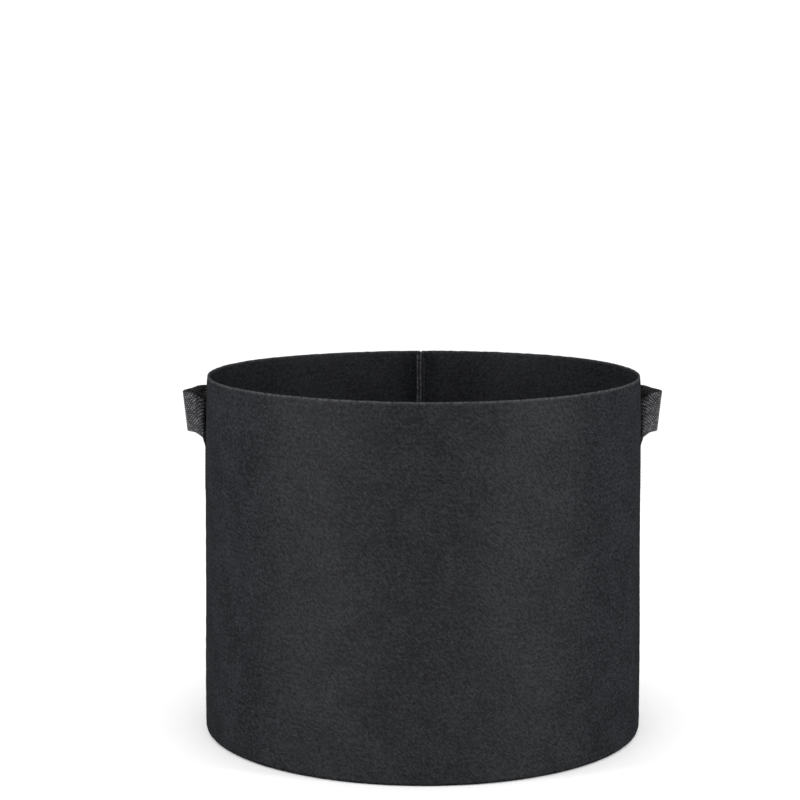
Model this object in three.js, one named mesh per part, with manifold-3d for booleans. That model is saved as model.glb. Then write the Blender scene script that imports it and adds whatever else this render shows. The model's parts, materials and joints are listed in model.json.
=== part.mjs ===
// Fabric grow bag: a round felt planting bag of the five-gallon size, with two webbing handles.
// Millimetres, +Z up. The origin is the centre of the underside. The front of the bag faces -Y,
// the side seam runs down the back at +Y, and the two handles sit a little behind +X and -X.
import * as THREE from 'three';
import { mergeVertices } from 'three/addons/utils/BufferGeometryUtils.js';
import Module from 'manifold-3d';

// ---- Driving dimensions ----
const HEIGHT = 251; // underside to rim
const RIM_RADIUS = 151.2; // outer radius at the rim
const FOOT_RADIUS = 153.8; // outer radius just above the bottom fold: a filled bag is fullest low down
const FELT = 2.2; // thickness of the needle-punched felt
const GAP = 0.3; // clearance between pieces that lie against each other

const FOLD_RADIUS = 3; // outer radius where the felt turns in to the base seam
const FIN_TOP = 13; // height of the seam allowance that stands up inside the foot
const SEAM_ALLOWANCE = 9; // how far the side seam's two flaps reach into the bag

const STRAP_WIDTH = 28; // webbing of the handles
const STRAP_THICKNESS = 1.6;
const STRAP_SPREAD = 58; // between the centre lines of a handle's two sewn ends
const STRAP_FOOT = 166.5; // lower edge of a sewn end
const BEND_HEIGHT = 197; // where the webbing leaves its stitching: the handle swings about this line
const HANDLE_SETBACK = THREE.MathUtils.degToRad(17.5); // how far behind the side each handle sits

const THREAD = 0.8; // thickness of the sewing thread
const BOX_STITCH_WIDTH = 20; // the boxed cross that holds a sewn end
const BOX_STITCH_HEIGHT = 21;
const BOX_STITCH_FOOT = 170.5;
const SIDE_STITCHES = 10;
const SIDE_SEAM_END = 6; // bare felt between the side seam's last stitch and the end of its flaps
const BASE_STITCHES = 24;

const AROUND = 72; // facets round the bag
const ACROSS_STRAP = 4; // facets across the webbing

// ---- Materials ----
const felt = new THREE.MeshStandardMaterial({ color: 0x2f3032, roughness: 0.95, metalness: 0 });
const webbing = new THREE.MeshStandardMaterial({ color: 0x444547, roughness: 0.8, metalness: 0 });
const thread = new THREE.MeshStandardMaterial({ color: 0x232425, roughness: 0.6, metalness: 0 });

// ---- Solids ----
const wasm = await Module();
wasm.setup();

function solidOf(geometry) {
  const bare = geometry.clone();
  bare.deleteAttribute('normal');
  bare.deleteAttribute('uv');
  const merged = mergeVertices(bare, 1e-4);
  return new wasm.Manifold(new wasm.Mesh({
    numProp: 3,
    vertProperties: new Float32Array(merged.attributes.position.array),
    triVerts: new Uint32Array(merged.index.array),
  }));
}

function geometryOf(solid) {
  const mesh = solid.getMesh();
  const geometry = new THREE.BufferGeometry();
  geometry.setAttribute('position', new THREE.BufferAttribute(new Float32Array(mesh.vertProperties), 3));
  geometry.setIndex(new THREE.BufferAttribute(new Uint32Array(mesh.triVerts), 1));
  geometry.computeVertexNormals();
  return geometry;
}

const joined = (first, ...others) => others.reduce((sum, other) => sum.add(other), first);
const without = (first, ...cutters) => cutters.reduce((rest, cutter) => rest.subtract(cutter), first);

// Moves every point of a geometry to where `place` puts it.
function reshape(geometry, place) {
  const positions = geometry.attributes.position;
  const point = new THREE.Vector3();
  for (let i = 0; i < positions.count; i += 1) {
    const moved = place(point.fromBufferAttribute(positions, i));
    positions.setXYZ(i, moved.x, moved.y, moved.z);
  }
  return geometry;
}

// A solid of revolution about +Z, from an outline of [radius, height] points given counter-clockwise.
function turned(outline) {
  const points = outline.map(([radius, height]) => new THREE.Vector2(radius, height));
  return new THREE.LatheGeometry(points, AROUND).rotateX(Math.PI / 2);
}

// Points along a circular arc in the [radius, height] plane, angles in quarter turns.
function arc(centreRadius, centreHeight, radius, from, to, steps) {
  return Array.from({ length: steps + 1 }, (_, i) => {
    const angle = (from + ((to - from) * i) / steps) * (Math.PI / 2);
    return [centreRadius + radius * Math.cos(angle), centreHeight + radius * Math.sin(angle)];
  });
}

function part(name, geometry, material) {
  const mesh = new THREE.Mesh(geometry, material);
  mesh.name = name;
  return mesh;
}

// ---- Wall coordinates ----
// Outer radius of the wall at a height.
const wallRadius = (height) => FOOT_RADIUS + ((RIM_RADIUS - FOOT_RADIUS) * height) / HEIGHT;

// Takes (along the wall, height, out from the wall's outer face) to the bag's frame, about +X.
function onWall(along, height, out) {
  const angle = along / FOOT_RADIUS;
  const radius = wallRadius(height) + out;
  return new THREE.Vector3(radius * Math.cos(angle), radius * Math.sin(angle), height);
}

// ---- Wall and base ----
const innerFold = FOLD_RADIUS - FELT;
const wallFin = FOOT_RADIUS - 2 * FOLD_RADIUS; // inner face of the wall's turned-up allowance
const baseRadius = wallFin - GAP; // outer face of the base's turned-up allowance

// The wall in section: down the outside, under the fold and up the inside of the foot.
const wallOutline = [
  [wallFin, FIN_TOP],
  ...arc(FOOT_RADIUS - FOLD_RADIUS, FOLD_RADIUS, FOLD_RADIUS, -2, 0, 8),
  [RIM_RADIUS, HEIGHT],
  [RIM_RADIUS - FELT, HEIGHT],
  ...arc(FOOT_RADIUS - FOLD_RADIUS, FOLD_RADIUS, innerFold, 0, -2, 6),
  [wallFin + FELT, FIN_TOP],
  [wallFin, FIN_TOP],
];

const baseOutline = [
  [0, 0],
  ...arc(baseRadius - FOLD_RADIUS, FOLD_RADIUS, FOLD_RADIUS, -1, 0, 4),
  [baseRadius, FIN_TOP],
  [baseRadius - FELT, FIN_TOP],
  ...arc(baseRadius - FOLD_RADIUS, FOLD_RADIUS, innerFold, 0, -1, 3),
  [0, FELT],
];

// Leans a piece made against the foot radius at the back of the bag, so that it follows the wall.
function followWall(geometry) {
  return reshape(geometry, (p) => p.setY(p.y + wallRadius(p.z) - FOOT_RADIUS));
}

// One of the two ends of the wall felt, turned into the bag; side is -1 or 1.
function seamFlap(side) {
  const bottom = FIN_TOP + 1; // just clear of the allowance inside the foot
  const bite = FELT / 2; // how far the flap runs into the wall's own thickness
  const length = SEAM_ALLOWANCE + bite;
  const flap = new THREE.BoxGeometry(FELT, length, HEIGHT - bottom);
  flap.translate(side * (FELT + GAP) / 2, FOOT_RADIUS - FELT + bite - length / 2, (HEIGHT + bottom) / 2);
  return solidOf(followWall(flap));
}

// The slit between the two ends of the felt, opening outwards into a groove where they turn in.
function seamSlit() {
  const outside = FELT;
  const past = 1; // how far the cut runs past the felt at either end
  const depth = FELT + SEAM_ALLOWANCE + 2 * outside;
  const slit = new THREE.BoxGeometry(GAP, depth, HEIGHT + 2 * past);
  slit.translate(0, FOOT_RADIUS + outside - depth / 2, HEIGHT / 2);
  const grooveDepth = 0.8 * FELT;
  const mouth = new THREE.Shape([
    new THREE.Vector2(-FELT, outside),
    new THREE.Vector2(0, -grooveDepth),
    new THREE.Vector2(FELT, outside),
  ]);
  const groove = new THREE.ExtrudeGeometry(mouth, { depth: HEIGHT + 2 * past, bevelEnabled: false });
  groove.translate(0, FOOT_RADIUS, -past);
  return joined(solidOf(followWall(slit)), solidOf(followWall(groove)));
}

// ---- Side seam thread ----
const sideStitchRadius = FOOT_RADIUS - 2 * FELT; // the line of stitches, before it follows the wall
const sideSeamBottom = FIN_TOP + SIDE_SEAM_END;
const sideSeamTop = HEIGHT - SIDE_SEAM_END;
const flapFace = GAP / 2 + FELT; // from the seam's plane out to the far face of a flap

// The pins of thread that pass through both flaps; `slack` widens them into needle holes.
function sideSeamPins(slack) {
  const reach = 2 * (flapFace + GAP) + THREAD;
  const thick = THREAD + 2 * slack;
  const first = sideSeamBottom + THREAD;
  const step = (sideSeamTop - THREAD - first) / (SIDE_STITCHES - 1);
  const pins = Array.from({ length: SIDE_STITCHES }, (_, i) => {
    const pin = new THREE.BoxGeometry(reach, thick, thick);
    return solidOf(followWall(pin.translate(0, sideStitchRadius, first + step * i)));
  });
  return joined(...pins);
}

function sideSeamThread() {
  const middle = (sideSeamTop + sideSeamBottom) / 2;
  const rows = [-1, 1].map((side) => {
    const row = new THREE.BoxGeometry(THREAD, THREAD, sideSeamTop - sideSeamBottom);
    row.translate(side * (flapFace + GAP + THREAD / 2), sideStitchRadius, middle);
    return solidOf(followWall(row));
  });
  return joined(sideSeamPins(0), ...rows);
}

// ---- Base seam thread ----
const baseStitchHeight = (FIN_TOP + FOLD_RADIUS) / 2;
const outerRowRadius = wallFin + FELT + GAP; // in the hollow between the wall and its allowance
const innerRowRadius = baseRadius - FELT - GAP;

function baseSeamPins(slack) {
  const outer = outerRowRadius + THREAD / 2;
  const inner = innerRowRadius - THREAD / 2;
  const pins = Array.from({ length: BASE_STITCHES }, (_, i) => {
    const pin = new THREE.BoxGeometry(outer - inner, THREAD + 2 * slack, THREAD + 2 * slack);
    pin.translate((outer + inner) / 2, 0, baseStitchHeight);
    // Half a step of turn keeps every pin clear of the side seam at the back.
    pin.rotateZ(((i + 0.5) * 2 * Math.PI) / BASE_STITCHES);
    return solidOf(pin);
  });
  return joined(...pins);
}

function threadRing(inside) {
  const low = baseStitchHeight - THREAD / 2;
  const high = low + THREAD;
  const outside = inside + THREAD;
  return solidOf(turned([[inside, low], [outside, low], [outside, high], [inside, high], [inside, low]]));
}

function baseSeamThread() {
  return joined(baseSeamPins(0), threadRing(outerRowRadius), threadRing(innerRowRadius - THREAD));
}

// ---- Handles, built about +X and turned into place ----
const strapLayer = GAP + STRAP_THICKNESS / 2; // mid-thickness of webbing that lies on the wall

// A closed sheet: a grid of mid-surface points, [row][column], given a thickness along its normals.
function thickSheet(grid, thickness) {
  const rows = grid.length;
  const columns = grid[0].length;
  const positions = [];
  const normalAt = (r, c) => {
    const alongRow = grid[Math.min(r + 1, rows - 1)][c].clone().sub(grid[Math.max(r - 1, 0)][c]);
    const alongColumn = grid[r][Math.min(c + 1, columns - 1)].clone().sub(grid[r][Math.max(c - 1, 0)]);
    return alongRow.cross(alongColumn).normalize();
  };
  for (const side of [0.5, -0.5]) {
    for (let r = 0; r < rows; r += 1) {
      for (let c = 0; c < columns; c += 1) {
        positions.push(...grid[r][c].clone().addScaledVector(normalAt(r, c), side * thickness));
      }
    }
  }
  const index = [];
  const quad = (a, b, c, d) => index.push(a, b, c, a, c, d);
  const top = (r, c) => r * columns + c;
  const under = (r, c) => rows * columns + top(r, c);
  for (let r = 0; r < rows - 1; r += 1) {
    for (let c = 0; c < columns - 1; c += 1) {
      quad(top(r, c), top(r + 1, c), top(r + 1, c + 1), top(r, c + 1));
      quad(under(r, c), under(r, c + 1), under(r + 1, c + 1), under(r + 1, c));
    }
    quad(top(r, 0), under(r, 0), under(r + 1, 0), top(r + 1, 0));
    quad(top(r, columns - 1), top(r + 1, columns - 1), under(r + 1, columns - 1), under(r, columns - 1));
  }
  for (let c = 0; c < columns - 1; c += 1) {
    quad(top(0, c), top(0, c + 1), under(0, c + 1), under(0, c));
    quad(top(rows - 1, c), under(rows - 1, c), under(rows - 1, c + 1), top(rows - 1, c + 1));
  }
  const geometry = new THREE.BufferGeometry();
  geometry.setAttribute('position', new THREE.Float32BufferAttribute(positions, 3));
  geometry.setIndex(index);
  return geometry;
}

// A sewn end lies flat on the wall; side is -1 or 1 along the wall.
function strapEnd(side) {
  // The bend swings through this much room, so the sewn end stops short of it.
  const top = BEND_HEIGHT - STRAP_THICKNESS / 2 - GAP;
  const grid = [STRAP_FOOT, top].map((height) => Array.from({ length: ACROSS_STRAP + 1 }, (_, i) => {
    const along = (side * STRAP_SPREAD) / 2 + STRAP_WIDTH * (i / ACROSS_STRAP - 0.5);
    return onWall(along, height, strapLayer);
  }));
  return solidOf(thickSheet(grid, STRAP_THICKNESS));
}

// The two long edges of the free webbing, from the bend to the middle of the grip, as points of
// (along the wall, height, out from the wall). Each end turns over a slack diagonal crease, so the
// edge that is outermost where it is sewn becomes the lower edge of the grip.
function freeEdges() {
  const outerLeg = STRAP_SPREAD / 2 + STRAP_WIDTH / 2;
  const innerLeg = STRAP_SPREAD / 2 - STRAP_WIDTH / 2;
  const gripLow = BEND_HEIGHT + 8.2;
  const gripTop = gripLow + STRAP_WIDTH;
  const lower = [
    [outerLeg, BEND_HEIGHT, 0],
    [outerLeg, gripLow - 6.2, 0.3],
    [outerLeg - 1, gripLow - 2.5, 1.8],
    [outerLeg - 4, gripLow - 0.6, 3.8],
    [outerLeg - 13, gripLow + 1, 10],
    [innerLeg + 1, gripLow, 18.8],
    [0, gripLow, 18.3],
  ];
  const upper = [
    [innerLeg, BEND_HEIGHT, 0],
    [innerLeg, gripTop - 24, 0.6],
    [innerLeg + 3, gripTop - 15, 4.8],
    [innerLeg + 5, gripTop - 6.5, 6.4],
    [innerLeg + 4.5, gripTop - 1, 14.2],
    [innerLeg, gripTop, 22.9],
    [0, gripTop, 22.5],
  ];
  return [lower, upper];
}

// Samples an edge given from one bend to the middle, and its mirror image on to the other bend.
function wholeEdge(half) {
  const steps = 50;
  const onSide = (side) => half.map(([along, height, out]) => new THREE.Vector3(side * along, height, out));
  const points = [...onSide(-1), ...onSide(1).reverse().slice(1)];
  return new THREE.CatmullRomCurve3(points).getPoints(steps);
}

function strapGrip() {
  const [lower, upper] = freeEdges().map(wholeEdge);
  const grid = lower.map((low, i) => Array.from({ length: ACROSS_STRAP + 1 }, (_, j) => {
    const point = low.clone().lerp(upper[i], j / ACROSS_STRAP);
    return onWall(point.x, point.y, strapLayer + Math.max(point.z, 0));
  }));
  return solidOf(thickSheet(grid, STRAP_THICKNESS));
}

// ---- Boxed crosses of stitching, each flat against the middle of its sewn end ----
// How far the wall curves away from a flat box between its middle and its sides.
const boxSag = FOOT_RADIUS - Math.sqrt(FOOT_RADIUS ** 2 - (BOX_STITCH_WIDTH / 2) ** 2);

// Takes a drawing (x along the wall, y up, z out from the wall's outer face) to a sewn end.
function ontoStrapEnd(geometry, side) {
  const height = BOX_STITCH_FOOT + BOX_STITCH_HEIGHT / 2;
  const middle = onWall((side * STRAP_SPREAD) / 2, height, 0);
  const up = onWall((side * STRAP_SPREAD) / 2, height + 1, 0).sub(middle).normalize();
  const along = new THREE.Vector3(0, 0, 1).cross(middle).normalize();
  const outwards = along.clone().cross(up);
  const placing = new THREE.Matrix4().makeBasis(along, up, outwards).setPosition(middle);
  return solidOf(geometry.applyMatrix4(placing));
}

// The pins of thread that dive through webbing and wall: at the box's corners and where it crosses.
function boxStitchPins(side, slack) {
  const inner = -FELT - GAP - boxSag - THREAD / 2;
  const outer = GAP + STRAP_THICKNESS + GAP + THREAD / 2;
  const across = (BOX_STITCH_WIDTH - THREAD) / 2;
  const upwards = (BOX_STITCH_HEIGHT - THREAD) / 2;
  const places = [[0, 0], [-across, -upwards], [across, -upwards], [across, upwards], [-across, upwards]];
  return joined(...places.map(([x, y]) => {
    const pin = new THREE.BoxGeometry(THREAD + 2 * slack, THREAD + 2 * slack, outer - inner);
    return ontoStrapEnd(pin.translate(x, y, (outer + inner) / 2), side);
  }));
}

// The rows of the boxed cross on one face: a plate with four triangular windows between the rows.
function boxStitchRows(side, out) {
  const w = BOX_STITCH_WIDTH / 2;
  const h = BOX_STITCH_HEIGHT / 2;
  const slope = h / w;
  const halfRow = (THREAD / 2) * Math.hypot(1, slope); // half a diagonal row, measured upwards
  const top = h - THREAD;
  const spread = (top - halfRow) / slope;
  const edge = w - THREAD;
  const rise = edge * slope - halfRow;
  const windows = [-1, 1].flatMap((s) => [
    [[0, s * halfRow], [spread, s * top], [-spread, s * top]],
    [[(s * halfRow) / slope, 0], [s * edge, rise], [s * edge, -rise]],
  ]);
  const cutters = windows.map((corners) => {
    const outline = new THREE.Shape(corners.map(([x, y]) => new THREE.Vector2(x, y)));
    const cutter = new THREE.ExtrudeGeometry(outline, { depth: 2 * THREAD, bevelEnabled: false });
    return ontoStrapEnd(cutter.translate(0, 0, out - THREAD / 2), side);
  });
  const plate = new THREE.BoxGeometry(BOX_STITCH_WIDTH, BOX_STITCH_HEIGHT, THREAD);
  return without(ontoStrapEnd(plate.translate(0, 0, out + THREAD / 2), side), ...cutters);
}

function boxStitch(side) {
  const outside = GAP + STRAP_THICKNESS + GAP;
  const inside = -FELT - GAP - boxSag - THREAD;
  return joined(boxStitchPins(side, 0), boxStitchRows(side, outside), boxStitchRows(side, inside));
}

// ---- Assembly ----
// Each handle's turn about +Z, and which way along the wall is towards the front of the bag.
const handles = [
  { name: 'right', turn: HANDLE_SETBACK, front: -1 },
  { name: 'left', turn: Math.PI - HANDLE_SETBACK, front: 1 },
];

const bag = new THREE.Group();

const handleHoles = handles.flatMap(({ turn }) => [-1, 1].map((side) => (
  boxStitchPins(side, GAP).rotate([0, 0, THREE.MathUtils.radToDeg(turn)])
)));
const wallSheet = without(solidOf(turned(wallOutline)), seamSlit());
const wallWithFlaps = joined(wallSheet, seamFlap(-1), seamFlap(1));
const wall = without(wallWithFlaps, sideSeamPins(GAP), baseSeamPins(GAP), ...handleHoles);
bag.add(part('wall_panel', geometryOf(wall), felt.clone()));

const base = without(solidOf(turned(baseOutline)), baseSeamPins(GAP));
bag.add(part('base_disc', geometryOf(base), felt.clone()));
bag.add(part('side_seam_thread', geometryOf(sideSeamThread()), thread.clone()));
bag.add(part('base_seam_thread', geometryOf(baseSeamThread()), thread.clone()));

for (const { name, turn, front } of handles) {
  const handle = new THREE.Group();
  handle.rotation.z = turn;
  handle.add(part(`${name}_handle_grip`, geometryOf(strapGrip()), webbing.clone()));
  for (const [place, side] of [['front', front], ['rear', -front]]) {
    const end = without(strapEnd(side), boxStitchPins(side, GAP));
    handle.add(part(`${name}_handle_${place}_end`, geometryOf(end), webbing.clone()));
    handle.add(part(`${name}_handle_${place}_stitching`, geometryOf(boxStitch(side)), thread.clone()));
  }
  bag.add(handle);
}

export default bag;
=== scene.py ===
import json
import math

import bpy
import numpy as np
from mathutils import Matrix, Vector, noise


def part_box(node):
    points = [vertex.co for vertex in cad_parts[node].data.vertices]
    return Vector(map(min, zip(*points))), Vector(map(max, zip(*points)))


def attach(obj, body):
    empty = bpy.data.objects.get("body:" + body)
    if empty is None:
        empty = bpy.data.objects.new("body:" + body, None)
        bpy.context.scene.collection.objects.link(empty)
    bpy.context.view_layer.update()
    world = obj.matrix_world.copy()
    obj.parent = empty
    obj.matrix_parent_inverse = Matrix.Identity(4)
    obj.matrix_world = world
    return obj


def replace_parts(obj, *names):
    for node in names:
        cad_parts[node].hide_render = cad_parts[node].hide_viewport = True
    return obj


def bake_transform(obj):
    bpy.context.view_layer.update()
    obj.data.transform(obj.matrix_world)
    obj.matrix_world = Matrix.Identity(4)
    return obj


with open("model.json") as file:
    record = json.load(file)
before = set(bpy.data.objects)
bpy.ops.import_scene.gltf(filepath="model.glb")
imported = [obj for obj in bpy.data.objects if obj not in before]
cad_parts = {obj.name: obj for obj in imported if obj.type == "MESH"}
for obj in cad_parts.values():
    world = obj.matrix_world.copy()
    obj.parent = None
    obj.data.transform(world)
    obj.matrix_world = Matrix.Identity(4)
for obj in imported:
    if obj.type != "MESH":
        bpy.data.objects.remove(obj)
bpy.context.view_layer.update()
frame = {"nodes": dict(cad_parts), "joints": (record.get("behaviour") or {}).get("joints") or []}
noise.seed_set(5)  # unseeded, the noise would change from run to run

# ---- Felt ----
FELT = 0.0022  # thickness
GAP = 0.00006  # between two layers that lie against each other
FOLD = 0.003  # outer radius where the wall and the base turn in and up at the base seam
CUT_PINCH = 0.6  # share of its thickness that the felt keeps at its cut edge
PINCH_REACH = 0.006  # how far from the cut edge it is thinner
FLUFF_HIGHLIGHT_REACH = 0.0017  # how far from the cut edge its painted highlight reaches, where loose fibres catch the light
LUMPS = (0.0045, 0.00016)  # size and height of the unevenness of its faces
CUT_LUMPS = 0.0011  # size of the unevenness of its cut edge
RIM_WAVE = 0.0004  # how far the rim rises and falls
BASE_SWELL = 0.0011  # height of the middle of the base, before ripples double it or flatten it

SEAM_ANGLE = math.pi / 2  # where the side seam is
SEAM_ALLOWANCE = 0.009  # how far its two flaps reach into the bag
FLAP_START = 0.001  # from the top of the foot's allowance up to the flaps
FLAP_RISE = 0.006  # height in which the flaps grow to their full length
FLAP_LEAN = 0.0016  # how far their free edges lean over together
LEAN_RISE = 0.02  # height in which the flaps come to lean that far
SLACK_RISE = 0.006  # height above the fold in which the wall's slack sets in

# ---- Webbing ----
STRAP_WIDTH = 0.028
STRAP_THICKNESS = 0.0016
STRAP_RISE = 0.0082  # from the hinge up to the grip's lower edge
WARP = 0.0014  # width of one lengthwise yarn
WEFT = 0.0013  # from one crosswise yarn to the next
YARN_RELIEF = 0.00032  # from a yarn's crest down to the groove beside it
SEALED_END = 0.0012  # length of the webbing's melted end, which has no relief

# ---- Thread ----
THREAD = 0.0008  # thickness
STITCH = 0.0034  # length of one stitch
BOX_STITCH = (0.020, 0.021)  # width and height of the boxed cross on a sewn end
STITCH_PRESS = (0.0009, 0.00035)  # reach and depth of the dent that a stitch presses in the webbing
STITCH_SINK = 0.0003  # how far the box stitches lie below the webbing's face

# ---- Spacing of the meshes ----
CLOTH_STEP = 0.0027
STRAP_STEP = 0.0005

# ---- Places, from the frame ----
wall_points = np.array([v.co for v in frame["nodes"]["wall_panel"].data.vertices])
wall_reach = np.hypot(wall_points[:, 0], wall_points[:, 1])
HEIGHT = wall_points[:, 2].max()
RIM_RADIUS = wall_reach[wall_points[:, 2] > HEIGHT - 1e-4].max()
FOOT_RADIUS = wall_reach.max()
FIN_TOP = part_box("base_disc")[1].z  # top of the seam allowance that stands up inside the foot
FIN_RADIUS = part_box("base_disc")[1].x  # outer face of the base's part of it
joints = {joint["name"]: joint for joint in frame["joints"]}


# ---- The wall's shape ----
def slack(angle, height):
    """How far the felt stands out from its even shape, where soil presses it and sewing gathers it."""
    up = np.clip(height / HEIGHT, 0, 1)
    belly = 0.0003 * np.sin(np.pi * up)
    rim = up**3 * (0.00035 * np.sin(3 * angle + 0.6) + 0.0003 * np.sin(5 * angle + 2.1))
    dents = 0.0003 * np.sin(4 * angle + 5 * up + 1) * np.sin(2 * np.pi * up + 2 * angle)
    gathers = 0.00022 * np.exp(-height / 0.02) * np.sin(41 * angle + 3 * np.sin(3 * angle))
    return belly + rim + dents + gathers


def wall_radius(height):
    """Outer radius of the wall, without its slack."""
    up = (height - FOLD) / (HEIGHT - FOLD)
    return FOOT_RADIUS + (RIM_RADIUS - FOOT_RADIUS) * up


def on_wall(angle, height, out):
    """A point that far out from the wall's outer face."""
    radius = wall_radius(height) + slack(angle, height) + out
    return np.stack([radius * np.cos(angle), radius * np.sin(angle), height + 0 * angle], -1)


def smooth(value):
    """0 below 0, 1 above 1, and an S curve between."""
    value = np.clip(value, 0, 1)
    return value * value * (3 - 2 * value)


# ---- Meshes ----
def unit(vectors):
    """The vectors at length 1."""
    return vectors / np.maximum(np.linalg.norm(vectors, axis=-1, keepdims=True), 1e-12)


def new_piece(name, points, faces, attributes, material):
    """A mesh object in the scene. attributes are one number or one vector for each point."""
    mesh = bpy.data.meshes.new(name)
    mesh.from_pydata(points.tolist(), [], faces)
    mesh.polygons.foreach_set("use_smooth", [True] * len(mesh.polygons))
    for key, values in attributes.items():
        kind, field = ("FLOAT", "value") if values.ndim == 1 else ("FLOAT_VECTOR", "vector")
        mesh.attributes.new(key, kind, "POINT").data.foreach_set(field, values.astype(np.float32).ravel())
    mesh.materials.append(material)
    mesh.validate()
    piece = bpy.data.objects.new(name, mesh)
    bpy.context.scene.collection.objects.link(piece)
    return piece


def edge_loop(rows, columns):
    """The [row, column] pairs round the edge of a grid."""
    first = [(0, c) for c in range(columns)]
    right = [(r, columns - 1) for r in range(1, rows)]
    last = [(rows - 1, c) for c in range(columns - 2, -1, -1)]
    left = [(r, 0) for r in range(rows - 2, 0, -1)]
    return np.array(first + right + last + left)


def edge_directions(middle, normals, loop):
    """At each point of the edge, the direction in the cloth's plane that points off the cloth."""
    rows, columns = middle.shape[:2]
    off = np.zeros((len(loop), 3))
    for axis, size in ((0, rows), (1, columns)):
        for end, inward in ((0, 1), (size - 1, -1)):
            at_end = loop[:, axis] == end
            here = loop[at_end]
            inside = here.copy()
            inside[:, axis] += inward
            off[at_end] += unit(middle[tuple(here.T)] - middle[tuple(inside.T)])
    normal = normals[tuple(loop.T)]
    off -= np.sum(off * normal, axis=1, keepdims=True) * normal
    return unit(off)


def closed_sheet(middle, outer, inner, cloth, edge_bulge, edge_steps=4):
    """A closed skin round a grid of mid-surface points.

    outer and inner say how far each face stands from the middle, and cloth is each point's place in
    the flat cloth. edge_bulge rounds the cut edge: 1 is a half circle and 0 is square.
    """
    rows, columns = middle.shape[:2]
    normals = unit(np.cross(np.gradient(middle, axis=0), np.gradient(middle, axis=1)))
    loop = edge_loop(rows, columns)
    pick = tuple(loop.T)
    off = edge_directions(middle, normals, loop)
    faces_of = [middle + normals * outer[..., None], middle - normals * inner[..., None]]
    points = [face.reshape(-1, 3) for face in faces_of]
    top, bottom = (face[pick] for face in faces_of)
    half = (outer + inner)[pick][:, None] / 2
    for step in range(1, edge_steps + 1):
        turn = math.pi * step / (edge_steps + 1)
        mix = (1 - math.cos(turn)) / 2
        points.append(top + (bottom - top) * mix + off * half * edge_bulge * math.sin(turn))
    size = rows * columns
    rings = [loop[:, 0] * columns + loop[:, 1]]
    rings += [2 * size + len(loop) * step + np.arange(len(loop)) for step in range(edge_steps)]
    rings.append(rings[0] + size)

    corner = (np.arange(rows - 1)[:, None] * columns + np.arange(columns - 1)).ravel()
    outside = np.stack([corner, corner + columns, corner + columns + 1, corner + 1], 1)
    inside = outside[:, ::-1] + size
    faces = outside.tolist() + inside.tolist()
    for ring, below in zip(rings, rings[1:]):
        faces += np.stack([ring, np.roll(ring, -1), np.roll(below, -1), below], 1).tolist()

    places = [cloth.reshape(-1, 2)] * 2 + [cloth[pick]] * edge_steps
    return np.concatenate(points), faces, np.concatenate(places)


def lumpy(points, size, height, seed):
    """Moves points by smooth noise with lumps of that size. The seed picks another part of the noise."""
    shift = Vector((seed, 2 * seed, 3 * seed))
    moves = [noise.noise_vector(Vector(point) / size + shift) for point in points]
    return points + height * np.array(moves)


def arc_lengths(points):
    """How far along a path each of its points lies."""
    steps = np.linalg.norm(np.diff(points, axis=0), axis=1)
    return np.concatenate([[0], np.cumsum(steps)])


def along_path(path, lengths, wanted):
    """The path's points, or its directions, at the wanted lengths."""
    return np.stack([np.interp(wanted, lengths, path[:, axis]) for axis in range(3)], 1)


# ---- Materials ----
def node(tree, kind, inputs=None, **settings):
    """Adds a node, sets it and links or fills its inputs."""
    made = tree.nodes.new(kind)
    for key, value in settings.items():
        setattr(made, key, value)
    for key, value in (inputs or {}).items():
        if isinstance(value, bpy.types.NodeSocket):
            tree.links.new(value, made.inputs[key])
        else:
            made.inputs[key].default_value = value
    return made


def math_node(tree, operation, first, second=0.0, third=0.0):
    inputs = {0: first, 1: second, 2: third}
    return node(tree, "ShaderNodeMath", inputs, operation=operation).outputs[0]


def mix_colour(tree, factor, first, second):
    made = node(tree, "ShaderNodeMix", {"Factor": factor}, data_type="RGBA")
    for socket, value in ((made.inputs[6], first), (made.inputs[7], second)):
        if isinstance(value, bpy.types.NodeSocket):
            tree.links.new(value, socket)
        else:
            socket.default_value = (*value, 1)
    return made.outputs[2]


def spread(tree, value, low, high, to_low=0.0, to_high=1.0, smooth_step=False):
    """Maps low to high on to to_low to to_high, and holds the value at those ends."""
    inputs = {"Value": value, "From Min": low, "From Max": high, "To Min": to_low, "To Max": to_high}
    kind = "SMOOTHSTEP" if smooth_step else "LINEAR"
    return node(tree, "ShaderNodeMapRange", inputs, interpolation_type=kind).outputs[0]


def attribute(tree, name):
    return node(tree, "ShaderNodeAttribute", attribute_name=name)


def noise_node(tree, vector, scale, detail=2.0, distortion=0.0):
    """Noise with about that many lumps in each unit of the vector."""
    inputs = {"Vector": vector, "Scale": scale, "Detail": detail, "Distortion": distortion}
    return node(tree, "ShaderNodeTexNoise", inputs).outputs["Fac"]


def finish_material(tree, colour, roughness, bump, specular):
    inputs = {
        "Base Color": colour,
        "Roughness": roughness,
        "Normal": bump,
        "Specular IOR Level": specular,
    }
    surface = node(tree, "ShaderNodeBsdfPrincipled", inputs)
    node(tree, "ShaderNodeOutputMaterial", {"Surface": surface.outputs[0]})


def new_material(name):
    material = bpy.data.materials.new(name)
    material.use_nodes = True
    material.node_tree.nodes.clear()
    return material, material.node_tree


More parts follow.
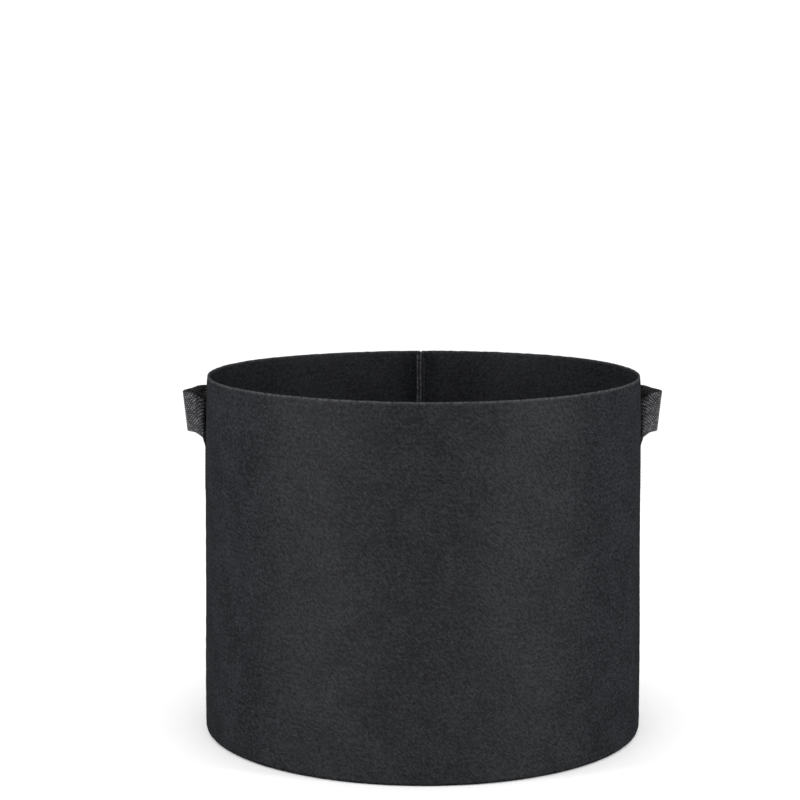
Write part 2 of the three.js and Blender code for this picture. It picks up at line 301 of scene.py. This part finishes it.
def felt_material():
    """Matted staple fibre: short curved flecks in every direction, cloudy patches and punched rows."""
    material, tree = new_material("needle_punched_felt")
    cloth = attribute(tree, "cloth").outputs["Vector"]
    edge = attribute(tree, "edge").outputs["Fac"]

    fibres = []
    for turn, length, width in ((0.3, 0.0034, 0.0010), (1.35, 0.0030, 0.0009), (2.4, 0.0032, 0.0011)):
        inputs = {"Vector": cloth, "Rotation": (0, 0, turn), "Scale": (length, width, 1)}
        laid = node(tree, "ShaderNodeMapping", inputs, vector_type="TEXTURE").outputs[0]
        fibres.append(noise_node(tree, laid, 1.0, detail=2.5, distortion=0.9))
    matted = math_node(tree, "ADD", math_node(tree, "MAXIMUM", fibres[0], fibres[1]), fibres[2])
    fleck = spread(tree, matted, 0.82, 1.36)

    clouds = noise_node(tree, cloth, 38.0, detail=4.0, distortion=0.4)
    grain = noise_node(tree, cloth, 900.0, detail=2.0)
    rows = node(
        tree,
        "ShaderNodeTexWave",
        {"Vector": cloth, "Scale": 95.0, "Distortion": 7.0, "Detail": 2.0, "Detail Scale": 1.4},
        bands_direction="Y",
    ).outputs["Fac"]

    tone = math_node(tree, "MULTIPLY_ADD", fleck, 0.62, math_node(tree, "MULTIPLY", clouds, 0.36))
    tone = math_node(tree, "MULTIPLY_ADD", rows, 0.07, tone)
    tone = math_node(tree, "MULTIPLY_ADD", grain, 0.22, tone)
    tone = spread(tree, tone, 0.40, 0.92)
    body = mix_colour(tree, tone, (0.0078, 0.0082, 0.0091), (0.0241, 0.0252, 0.0279))
    # The cut edge is painted paler, in noisy patches: a painted highlight where its loose fibres catch
    # the light.
    fluff_highlight = spread(tree, noise_node(tree, cloth, 420.0, detail=4.0), 0.35, 0.68)
    cut_edge_highlight = mix_colour(tree, fluff_highlight, (0.016, 0.0165, 0.018), (0.060, 0.061, 0.064))
    colour = mix_colour(tree, edge, body, cut_edge_highlight)

    # The shine is strongest at a slant, so it follows the camera. It stands in for the two soft bands of
    # light that the photographed bag shows, and is fitted to them: it isn't a measured property of felt.
    # Its level head on is a plain number in the last MULTIPLY, because a glTF export keeps only that.
    facing = node(tree, "ShaderNodeLayerWeight", {"Blend": 0.5}).outputs["Facing"]
    slant = math_node(tree, "SQRT", facing)
    rise = spread(tree, slant, 0.10, 0.34, 1.0, 2.2, smooth_step=True)
    fall = spread(tree, slant, 0.30, 0.66, 1.0, 0.0, smooth_step=True)
    by_slant = math_node(tree, "MULTIPLY", rise, fall)
    sheen = math_node(tree, "MULTIPLY", by_slant, 0.03)
    roughness = spread(tree, fleck, 0.0, 1.0, 0.58, 0.48)
    relief = math_node(tree, "MULTIPLY_ADD", grain, 0.35, fleck)
    bump = node(tree, "ShaderNodeBump", {"Strength": 0.55, "Distance": 0.00035, "Height": relief})
    finish_material(tree, colour, roughness, bump.outputs[0], specular=sheen)
    return material


def webbing_material():
    """Polypropylene yarns: each crossing has its own shade, fine filaments run along each yarn, the
    crests carry painted highlights and the grooves painted shade.
    """
    material, tree = new_material("woven_webbing")
    cloth = attribute(tree, "cloth").outputs["Vector"]
    crown = attribute(tree, "crown").outputs["Fac"]
    edge = attribute(tree, "edge").outputs["Fac"]

    per_crossing = (1 / WARP, 0.5 / WEFT, 1)
    cells = node(tree, "ShaderNodeMapping", {"Vector": cloth, "Scale": per_crossing}).outputs[0]
    cell = node(tree, "ShaderNodeVectorMath", {0: cells}, operation="FLOOR").outputs[0]
    random = node(tree, "ShaderNodeTexWhiteNoise", {"Vector": cell}, noise_dimensions="3D")
    shade = random.outputs["Value"]
    stretched = node(tree, "ShaderNodeMapping", {"Vector": cloth, "Scale": (9000, 900, 1)}).outputs[0]
    filaments = noise_node(tree, stretched, 1.0, detail=2.0)
    wear = noise_node(tree, cloth, 120.0, detail=3.0)

    # Crests are painted lighter and the grooves between yarns darker: painted highlight and painted
    # shade, on top of each crossing's own shade, the filaments and the wear.
    tone = math_node(tree, "MULTIPLY_ADD", shade, 0.30, math_node(tree, "MULTIPLY", crown, 0.75))
    tone = math_node(tree, "MULTIPLY_ADD", filaments, 0.22, tone)
    tone = math_node(tree, "MULTIPLY_ADD", wear, 0.18, tone)
    # The power curve darkens the middle tones and leaves the brightest crossings as painted glints.
    shine = math_node(tree, "POWER", spread(tree, tone, 0.40, 1.25), 2.7)
    yarn = mix_colour(tree, shine, (0.0018, 0.0019, 0.0025), (0.20, 0.202, 0.213))
    colour = mix_colour(tree, edge, yarn, (0.018, 0.0185, 0.020))

    roughness = spread(tree, filaments, 0.3, 0.7, 0.50, 0.72)
    relief = math_node(tree, "MULTIPLY_ADD", filaments, 0.4, crown)
    bump = node(tree, "ShaderNodeBump", {"Strength": 0.5, "Distance": 0.00018, "Height": relief})
    finish_material(tree, colour, roughness, bump.outputs[0], specular=0.14)
    return material


def thread_material():
    """Twisted polyester thread: dark, a little shiny, with its plies running round it."""
    material, tree = new_material("twisted_thread")
    cloth = attribute(tree, "cloth").outputs["Vector"]
    plies = node(
        tree,
        "ShaderNodeTexWave",
        {"Vector": cloth, "Scale": 0.55, "Distortion": 0.4, "Detail": 1.0},
        bands_direction="DIAGONAL",
        wave_profile="SIN",
    ).outputs["Fac"]
    fuzz = noise_node(tree, cloth, 6.0, detail=3.0)
    # The plies' crests are painted lighter and the grooves between them darker: painted highlight and
    # painted shade.
    tone = math_node(tree, "MULTIPLY_ADD", plies, 0.7, math_node(tree, "MULTIPLY", fuzz, 0.4))
    colour = mix_colour(tree, tone, (0.008, 0.0085, 0.009), (0.048, 0.049, 0.052))
    roughness = spread(tree, fuzz, 0.3, 0.7, 0.42, 0.62)
    bump = node(tree, "ShaderNodeBump", {"Strength": 0.6, "Distance": 0.0001, "Height": plies})
    finish_material(tree, colour, roughness, bump.outputs[0], specular=0.4)
    return material


def floor_material():
    material, tree = new_material("pale_floor")
    place = node(tree, "ShaderNodeTexCoord").outputs["Object"]
    mottle = noise_node(tree, place, 6.0, detail=3.0)
    colour = mix_colour(tree, mottle, (0.90, 0.90, 0.90), (0.92, 0.92, 0.92))
    bump = node(tree, "ShaderNodeBump", {"Strength": 0.05, "Distance": 0.001, "Height": mottle})
    finish_material(tree, colour, 0.7, bump.outputs[0], specular=0.2)
    return material


# ---- Felt pieces ----
def wall_profile(fold_rows=17, fin_rows=6):
    """[radius, height] of the middle of the wall's felt, and how many of these come before the fold.

    It runs down from the rim, in under the fold, and up the allowance that stands inside the foot.
    """
    below_rim = np.array([0, 0.0003, 0.0008, 0.0015, 0.0026])  # rows closer together at the cut edge
    heights = HEIGHT - FELT / 2 - below_rim
    steps = round((heights[-1] - FOLD) / CLOTH_STEP)
    heights = np.concatenate([heights, np.linspace(heights[-1], FOLD, steps + 1)[1:]])
    side = np.stack([wall_radius(heights) - FELT / 2, heights], 1)
    bend = FOLD - FELT / 2
    turns = -np.pi * np.arange(1, fold_rows) / fold_rows
    under = np.stack([FOOT_RADIUS - FOLD + bend * np.cos(turns), FOLD + bend * np.sin(turns)], 1)
    fin_heights = np.linspace(FOLD, FIN_TOP - FELT / 2, fin_rows)
    fin = np.stack([np.full(fin_rows, FOOT_RADIUS - FOLD - bend), fin_heights], 1)
    return np.concatenate([side, under, fin]), len(side)


def seam_columns(count=6):
    """The end of the felt that turns in at the side seam, from the flap's cut edge to the wall.

    Returns, for each column, how far it lies from the seam's plane, its depth below the wall's middle
    and how much of the flap's length it takes.
    """
    bend = FELT / 2 + 0.0001  # a little over half the felt, so that its inner face doesn't cross itself
    flat = (GAP + FELT) / 2
    flap_share = np.linspace(1, 0, count)
    turns = np.linspace(np.pi / 2, 0, count + 1)[1:]
    sideways = np.concatenate([np.full(count, flat), flat + bend * (1 - np.sin(turns))])
    depth = np.concatenate([np.full(count, bend), bend * (1 - np.cos(turns))])
    return sideways, depth, np.concatenate([flap_share, np.zeros(count)])


def wall_grid():
    """Mid-surface points of the wall and their places in the flat cloth."""
    profile, wall_rows = wall_profile()
    tangents = unit(np.gradient(profile, axis=0))
    outward = np.stack([-tangents[:, 1], tangents[:, 0]], 1)
    sideways, depth, flap_share = seam_columns()
    columns = round(2 * np.pi * FOOT_RADIUS / CLOTH_STEP)
    radius, height = profile[:, :1], profile[:, 1:]

    # The flaps end above the allowance that stands up inside the foot. Below them the ends only turn in.
    least_flap = 0.0001
    above = smooth((height - FIN_TOP - FLAP_START) / FLAP_RISE)
    flap_length = (SEAM_ALLOWANCE - FELT) * above + least_flap
    flap_length[wall_rows:] = least_flap
    folded = np.arange(len(profile))[:, None] >= wall_rows
    shallower = np.where(folded, 0.6, 1)  # where the felt is folded under, its ends turn in less
    deep = depth * shallower + flap_share * flap_length
    lean = FLAP_LEAN * smooth((flap_share - 0.5) / 0.5) * smooth((height - FIN_TOP) / LEAN_RISE)
    start = SEAM_ANGLE + (sideways + lean) / radius
    end = SEAM_ANGLE + 2 * np.pi - (sideways - lean)[:, ::-1] / radius
    share = np.linspace(0, 1, columns + 1)[1:-1]
    around = start[:, -1:] + (end[:, :1] - start[:, -1:]) * share
    angle = np.concatenate([start, around, end], 1)
    flat = np.zeros_like(around)
    deep = np.concatenate([deep, flat, deep[:, ::-1]], 1)

    upright = np.where(folded, 0, smooth((height - FOLD) / SLACK_RISE))
    reach = radius - deep * outward[:, :1] + slack(angle, height) * upright
    level = height - deep * outward[:, 1:]
    level = level + RIM_WAVE * np.sin(2 * angle + 0.8) * smooth((height - HEIGHT / 2) / (HEIGHT / 2))
    middle = np.stack([reach * np.cos(angle), reach * np.sin(angle), level], -1)

    run = np.concatenate([deep[:, :len(sideways)], flat, -deep[:, -len(sideways):]], 1)
    along = angle * FOOT_RADIUS - run
    up = np.broadcast_to(-arc_lengths(np.pad(profile, ((0, 0), (0, 1))))[:, None], angle.shape)
    return middle, np.stack([along, up], -1)


def distance_from_edge(grid):
    """How far each point of a grid lies from the nearest edge, measured along the cloth."""
    nearest = np.inf
    for axis in (0, 1):
        steps = np.linalg.norm(np.diff(grid, axis=axis), axis=-1)
        from_start = np.insert(np.cumsum(steps, axis=axis), 0, 0, axis=axis)
        to_end = from_start.max(axis=axis, keepdims=True) - from_start
        nearest = np.minimum(nearest, np.minimum(from_start, to_end))
    return nearest


def felt_piece(name, middle, cloth, material, rough_edge):
    """A piece of felt with uneven faces and a fluffy cut edge, which its material paints paler: a painted
    highlight where loose fibres catch the light.
    """
    from_cut = distance_from_edge(middle)
    half = FELT / 2 * (CUT_PINCH + (1 - CUT_PINCH) * smooth(from_cut / PINCH_REACH))
    points, faces, places = closed_sheet(middle, half, half, cloth, edge_bulge=0.55)
    size = 2 * middle.shape[0] * middle.shape[1]
    points = lumpy(points, *LUMPS, seed=3.7)
    points[size:] = lumpy(points[size:], CUT_LUMPS, rough_edge, seed=8.1)
    # edge marks the cut edge and the strip beside it, which the felt's material paints paler as a
    # highlight.
    edge = np.ones(len(points))
    edge[:size] = np.tile(1 - smooth(from_cut / FLUFF_HIGHLIGHT_REACH).ravel(), 2)
    attributes = {"cloth": np.pad(places, ((0, 0), (0, 1))), "edge": edge}
    return new_piece(name, points, faces, attributes, material)


def disc_grid(profile_at, length, count):
    """A square grid wrapped on a round piece, and its places in the flat cloth.

    profile_at gives the radius and height at a distance from the centre along the cloth.
    """
    side = np.linspace(-1, 1, count)
    x, y = np.meshgrid(side, side, indexing="ij")
    reach = np.maximum(abs(x), abs(y))
    round_off = reach / np.maximum(np.hypot(x, y), 1e-9)
    flat_x, flat_y = x * round_off * length, y * round_off * length
    distance = np.hypot(flat_x, flat_y)
    radius, height = profile_at(distance)
    scale = radius / np.maximum(distance, 1e-9)
    return np.stack([flat_x * scale, flat_y * scale, height], -1), np.stack([flat_x, flat_y], -1)


def base_grid(count=150):
    """Mid-surface points of the base, a disc whose edge turns up inside the foot, and their places."""
    bend = FOLD - FELT / 2
    flat = FIN_RADIUS - FOLD
    turn_length = bend * np.pi / 2
    fin = FIN_TOP - FELT / 2 - FOLD

    def profile_at(distance):
        turn = np.clip((distance - flat) / bend, 0, np.pi / 2)
        up = np.clip(distance - flat - turn_length, 0, None)
        radius = np.minimum(distance, flat) + bend * np.sin(turn)
        return radius, FELT / 2 + bend * (1 - np.cos(turn)) + up

    middle, cloth = disc_grid(profile_at, flat + turn_length + fin, count)
    x, y = middle[..., 0], middle[..., 1]
    ripple = np.sin(x * 55 + 1) * np.sin(y * 43 + 2)
    inside = smooth(1 - np.hypot(x, y) / flat)
    middle[..., 2] += BASE_SWELL * inside * (1 + ripple)
    return middle, cloth


# ---- Handles ----
def handle_frame(side):
    """The angle round the bag of the handle's middle, and its hinge's height, from its joint."""
    joint = joints[f"{side}_handle_swing"]
    x, y, height = joint["pos_m"]
    return math.atan2(y, x), height


def end_angle(side, place):
    """The angle round the bag of the middle of a sewn end."""
    low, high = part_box(f"{side}_handle_{place}_end")
    middle = (low + high) / 2
    return math.atan2(middle.y, middle.x)


def catmull_rom(points, samples):
    """A smooth curve through points, with `samples` steps in each span."""
    ends = np.concatenate([[2 * points[0] - points[1]], points, [2 * points[-1] - points[-2]]])
    share = np.linspace(0, 1, samples, endpoint=False)[:, None]
    spans = []
    for a, b, c, d in zip(ends, ends[1:], ends[2:], ends[3:]):
        tangent_b, tangent_c = (c - a) / 2, (d - b) / 2
        cubic = 2 * b - 2 * c + tangent_b + tangent_c
        square = -3 * b + 3 * c - 2 * tangent_b - tangent_c
        spans.append(((cubic * share + square) * share + tangent_b) * share + b)
    return np.concatenate([*spans, points[-1:]])


def strap_edges(spread_half, foot, bend, samples=40):
    """The strap's two long edges, each [along the wall, height, out], from the front end to the rear end.

    Each end turns over a slack diagonal crease, so the edge that is outermost where it is sewn becomes
    the lower edge of the grip.
    """
    outer = spread_half + STRAP_WIDTH / 2
    inner = spread_half - STRAP_WIDTH / 2
    low = bend + STRAP_RISE
    top = low + STRAP_WIDTH
    lower = [
        (outer, bend, 0),
        (outer, low - 0.0062, 0.0003),
        (outer - 0.001, low - 0.0025, 0.0018),
        (outer - 0.004, low - 0.0006, 0.0038),
        (outer - 0.013, low + 0.001, 0.010),
        (inner + 0.001, low, 0.0188),
        (0, low, 0.0183),
    ]
    upper = [
        (inner, bend, 0),
        (inner, top - 0.024, 0.0006),
        (inner + 0.003, top - 0.015, 0.0048),
        (inner + 0.005, top - 0.0065, 0.0064),
        (inner + 0.0045, top - 0.001, 0.0142),
        (inner, top, 0.0229),
        (0, top, 0.0225),
    ]
    edges = []
    for half in (lower, upper):
        front = np.array(half)
        rear = front[-2::-1] * (-1, 1, 1)
        curve = catmull_rom(np.concatenate([front, rear]), samples)
        leg = np.linspace((front[0, 0], foot, 0), front[0], samples + 1)[:-1]
        edges.append(np.concatenate([leg, curve, leg[::-1] * (-1, 1, 1)]))
    return edges


def box_stitch_lines(width, height):
    """Start and end of each straight run of a boxed cross round its middle."""
    w, h = width / 2, height / 2
    corners = [(-w, -h), (w, -h), (w, h), (-w, h)]
    sides = list(zip(corners, corners[1:] + corners[:1]))
    return sides + [(corners[0], corners[2]), (corners[1], corners[3])]


def distance_to_lines(x, y, lines):
    """How far each point lies from the nearest of the lines."""
    nearest = np.full(x.shape, np.inf)
    for (ax, ay), (bx, by) in lines:
        length = math.hypot(bx - ax, by - ay)
        share = np.clip(((x - ax) * (bx - ax) + (y - ay) * (by - ay)) / length**2, 0, 1)
        nearest = np.minimum(nearest, np.hypot(x - ax - share * (bx - ax), y - ay - share * (by - ay)))
    return nearest


def weave(across, along):
    """Height, 0 to 1, of the yarns on one face of the webbing, and the same for its other face."""
    yarn = np.floor(across / WARP)
    crest = np.sqrt(np.clip(1 - (2 * (across / WARP - yarn) - 1) ** 2, 0, 1))
    over = 0.5 + 0.5 * np.cos(np.pi * along / WEFT + np.pi * yarn)
    return crest * (0.3 + 0.7 * over), crest * (0.3 + 0.7 * (1 - over))


def build_strap(side, material):
    """One length of webbing: sewn flat, bent out over a crease, along the grip and back."""
    centre, bend = handle_frame(side)
    facing = 1 if side == "left" else -1  # which way round the bag is towards its front
    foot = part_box(f"{side}_handle_front_end")[0].z
    spread_half = abs(math.remainder(end_angle(side, "front") - centre, 2 * math.pi)) * FOOT_RADIUS
    lower, upper = strap_edges(spread_half, foot, bend)

    lengths = arc_lengths((lower + upper) / 2)
    rows = round(lengths[-1] / STRAP_STEP)
    wanted = np.linspace(0, lengths[-1], rows + 1)
    lower, upper = (along_path(edge, lengths, wanted) for edge in (lower, upper))
    yarns = round(STRAP_WIDTH / WARP)
    share = np.linspace(0, 1, 4 * yarns + 1)
    flat = lower[:, None] + (upper - lower)[:, None] * share[None, :, None]
    out = np.maximum(flat[..., 2], 0) + STRAP_THICKNESS / 2
    middle = on_wall(centre + facing * flat[..., 0] / FOOT_RADIUS, flat[..., 1], out)
    if facing < 0:
        middle = middle[::-1]

    across = np.broadcast_to(share * STRAP_WIDTH, middle.shape[:2])
    along = np.broadcast_to(wanted[:, None], middle.shape[:2])
    rounding = 1e-6  # keeps a yarn's first row of points out of the yarn before it
    front_face, back_face = weave(across + rounding, along)
    ends = smooth(np.minimum(along, lengths[-1] - along) / SEALED_END)
    sewn_x = np.abs(flat[..., 0]) - spread_half
    sewn_y = flat[..., 1] - sewn_height(side)
    near = distance_to_lines(sewn_x, sewn_y, box_stitch_lines(*BOX_STITCH))
    reach, depth = STITCH_PRESS
    dent = depth * np.exp(-((near / reach) ** 2)) * (flat[..., 1] < bend)
    if facing < 0:
        dent = dent[::-1]
    outer = STRAP_THICKNESS / 2 - YARN_RELIEF * (1 - front_face * ends) - dent
    inner = STRAP_THICKNESS / 2 - YARN_RELIEF * (1 - back_face * ends)

    cloth = np.stack([across, along], -1)
    points, faces, places = closed_sheet(middle, outer, inner, cloth, edge_bulge=0.8, edge_steps=3)
    on_edges = len(points) - 2 * middle.shape[0] * middle.shape[1]
    # The rounded long edges get a middling crest height, which sets their painted light and shade as well
    # as their bump.
    edge_crown = 0.45
    crown = np.concatenate([front_face.ravel(), back_face.ravel(), np.full(on_edges, edge_crown)])
    sealed = np.concatenate([np.tile(1 - ends.ravel(), 2), np.zeros(on_edges)])
    attributes = {"cloth": np.pad(places, ((0, 0), (0, 1))), "crown": crown, "edge": sealed}
    strap = new_piece(f"{side}_strap", points, faces, attributes, material)
    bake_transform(strap)
    nodes = [f"{side}_handle_grip", f"{side}_handle_front_end", f"{side}_handle_rear_end"]
    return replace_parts(strap, *nodes)


# ---- Stitching ----
def stitch_run(path, outward, closed=False):
    """Tubes of thread, one for each stitch, that rise out of the cloth and dive back into it.

    A stitch takes nine tenths of its pitch. Its thread is thickest, and highest, in its middle.
    """
    if closed:
        path = np.concatenate([path, path[:1]])
        outward = np.concatenate([outward, outward[:1]])
    lengths = arc_lengths(path)
    count = max(1, round(lengths[-1] / STITCH))
    pitch = lengths[-1] / count
    rings, sides = 9, 8
    share = np.linspace(0, 1, rings)
    arch = np.sin(np.pi * share)
    radius = THREAD / 2 * (0.6 + 0.4 * arch**0.5)
    lift = THREAD / 2 * (1.25 * arch**0.6 - 0.75)
    turns = np.linspace(0, 2 * np.pi, sides, endpoint=False)
    stitches = []
    for i in range(count):
        wanted = (i + 0.05 + 0.90 * share) * pitch
        centre = along_path(path, lengths, wanted)
        out = unit(along_path(outward, lengths, wanted))
        centre = centre + out * lift[:, None]
        beside = unit(np.cross(np.gradient(centre, axis=0), out))
        rise = np.cross(beside, unit(np.gradient(centre, axis=0)))
        ring = np.cos(turns)[:, None] * beside[:, None] + np.sin(turns)[:, None] * rise[:, None]
        stitches.append(centre[:, None] + radius[:, None, None] * ring)
    return stitches


def stitching(name, runs, material, *stands_for):
    """One piece from all the stitches of a seam."""
    stitches = [stitch for run in runs for stitch in run]
    rings, sides = stitches[0].shape[:2]
    step = np.arange(rings - 1)[:, None] * sides
    here = np.arange(sides)
    after = (here + 1) % sides
    skin = np.stack([step + here, step + after, step + sides + after, step + sides + here], -1)
    skin = skin.reshape(-1, 4)
    first_cap = here[::-1].tolist()
    last_cap = (here + (rings - 1) * sides).tolist()
    faces = []
    for i in range(len(stitches)):
        start = i * rings * sides
        faces += (skin + start).tolist()
        faces += [[start + corner for corner in cap] for cap in (first_cap, last_cap)]
    points = np.concatenate([stitch.reshape(-1, 3) for stitch in stitches])
    girth = 4  # units of the pattern round the thread
    round_it, along = np.meshgrid(here / sides * girth, np.arange(rings) * 1.0)
    one = np.stack([along.ravel(), round_it.ravel(), np.zeros(rings * sides)], 1)
    apart = 7  # units of the pattern from one stitch to the next
    cloth = np.concatenate([one + (0, 0, apart * i) for i in range(len(stitches))])
    piece = new_piece(name, points, faces, {"cloth": cloth}, material)
    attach(piece, "bag")
    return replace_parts(piece, *stands_for)


def sewn_height(side):
    """Height of the middle of the handle's boxed crosses."""
    low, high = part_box(f"{side}_handle_front_stitching")
    return (low.z + high.z) / 2


def box_stitching(side, place, material, samples=30):
    """A boxed cross on the face of the webbing and, where it comes through, on the inside of the wall."""
    centre = end_angle(side, place)
    runs = []
    share = np.linspace(0, 1, samples)
    for out, direction in ((STRAP_THICKNESS - STITCH_SINK, 1), (-FELT, -1)):
        for (ax, ay), (bx, by) in box_stitch_lines(*BOX_STITCH):
            angle = centre + (ax + (bx - ax) * share) / FOOT_RADIUS
            height = sewn_height(side) + ay + (by - ay) * share
            path = on_wall(angle, height, out)
            outward = direction * np.stack([np.cos(angle), np.sin(angle), 0 * angle], 1)
            runs.append(stitch_run(path, outward))
    node_name = f"{side}_handle_{place}_stitching"
    return stitching(f"{side}_{place}_box_stitches", runs, material, node_name)


def side_seam_stitching(material, samples=120):
    """A row on each side of the two flaps at the back."""
    low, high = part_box("side_seam_thread")
    height = np.linspace(low.z, high.z, samples)
    stitch_depth = 2 * FELT
    reach = wall_radius(height) + slack(np.full(samples, SEAM_ANGLE), height) - stitch_depth
    runs = []
    for side in (-1, 1):
        path = np.stack([np.full(samples, side * (GAP / 2 + FELT)), reach, height], 1)
        runs.append(stitch_run(path, np.tile((side, 0.0, 0.0), (samples, 1))))
    return stitching("side_seam_stitches", runs, material, "side_seam_thread")


def base_seam_stitching(material, samples=720):
    """A row round the inside of the base's turned-up edge, and one behind the wall's."""
    low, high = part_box("base_seam_thread")
    height = (low.z + high.z) / 2
    angle = np.linspace(0, 2 * np.pi, samples, endpoint=False)
    radial = np.stack([np.cos(angle), np.sin(angle), 0 * angle], 1)
    runs = []
    for radius, direction in ((FIN_RADIUS - FELT, -1), (FOOT_RADIUS - 2 * FOLD + FELT, 1)):
        path = radial * radius + (0, 0, height)
        runs.append(stitch_run(path, direction * radial, closed=True))
    return stitching("base_seam_stitches", runs, material, "base_seam_thread")


# ---- Studio ----
def aim(thing, place, target):
    """Puts a light in the scene, facing its target."""
    thing.location = place
    thing.rotation_euler = (Vector(target) - Vector(place)).to_track_quat("-Z", "Y").to_euler()
    bpy.context.scene.collection.objects.link(thing)


def soft_light(name, place, target, size, power):
    light = bpy.data.lights.new(name, "AREA")
    light.shape = "RECTANGLE"
    light.size, light.size_y = size
    light.energy = power
    aim(bpy.data.objects.new(name, light), place, target)


def pale_floor(reach):
    floor_mesh = bpy.data.meshes.new("floor")
    corners = [(-reach, -reach, 0), (reach, -reach, 0), (reach, reach, 0), (-reach, reach, 0)]
    floor_mesh.from_pydata(corners, [], [(0, 1, 2, 3)])
    floor_mesh.materials.append(floor_material())
    floor = bpy.data.objects.new("floor", floor_mesh)
    bpy.context.scene.collection.objects.link(floor)


def white_surround(brightness):
    world = bpy.data.worlds.new("white_surround")
    bpy.context.scene.world = world
    world.use_nodes = True
    background = world.node_tree.nodes["Background"]
    background.inputs["Color"].default_value = (1, 1, 1, 1)
    background.inputs["Strength"].default_value = brightness


def studio():
    """A pale floor, an even white surround, a large light overhead and a tall one at each side."""
    pale_floor(reach=12)
    white_surround(brightness=1.15)
    middle = (0, 0, HEIGHT / 2)
    soft_light("overhead", (0, -1.0, 2.2), middle, size=(2.4, 1.8), power=8)
    distance, height = 1.5, 0.25
    from_front = math.radians(66)
    for name, side in (("left_light", -1), ("right_light", 1)):
        place = (side * distance * math.sin(from_front), -distance * math.cos(from_front), height)
        soft_light(name, place, middle, size=(0.3, 1.2), power=20)
    bpy.context.scene.view_settings.view_transform = "Standard"


def camera():
    """The photograph's viewing angle: from in front and above the rim, looking a little down."""
    lens = bpy.data.cameras.new("camera")
    lens.sensor_width = 36
    lens.lens = 97.2
    view = bpy.data.objects.new("camera", lens)
    view.location = (-0.016, -1.502, 0.430)
    looking_down = 7.53
    view.rotation_euler = (math.radians(90 - looking_down), 0, 0)
    bpy.context.scene.collection.objects.link(view)
    bpy.context.scene.camera = view


# ---- The bag ----
felt = felt_material()
webbing = webbing_material()
thread = thread_material()

wall = felt_piece("felt_wall", *wall_grid(), felt, rough_edge=0.00022)
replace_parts(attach(wall, "bag"), "wall_panel")
base = felt_piece("felt_base", *base_grid(), felt, rough_edge=0.00018)
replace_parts(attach(base, "bag"), "base_disc")
side_seam_stitching(thread)
base_seam_stitching(thread)
for side in ("left", "right"):
    build_strap(side, webbing)
    for place in ("front", "rear"):
        box_stitching(side, place, thread)

studio()
camera()
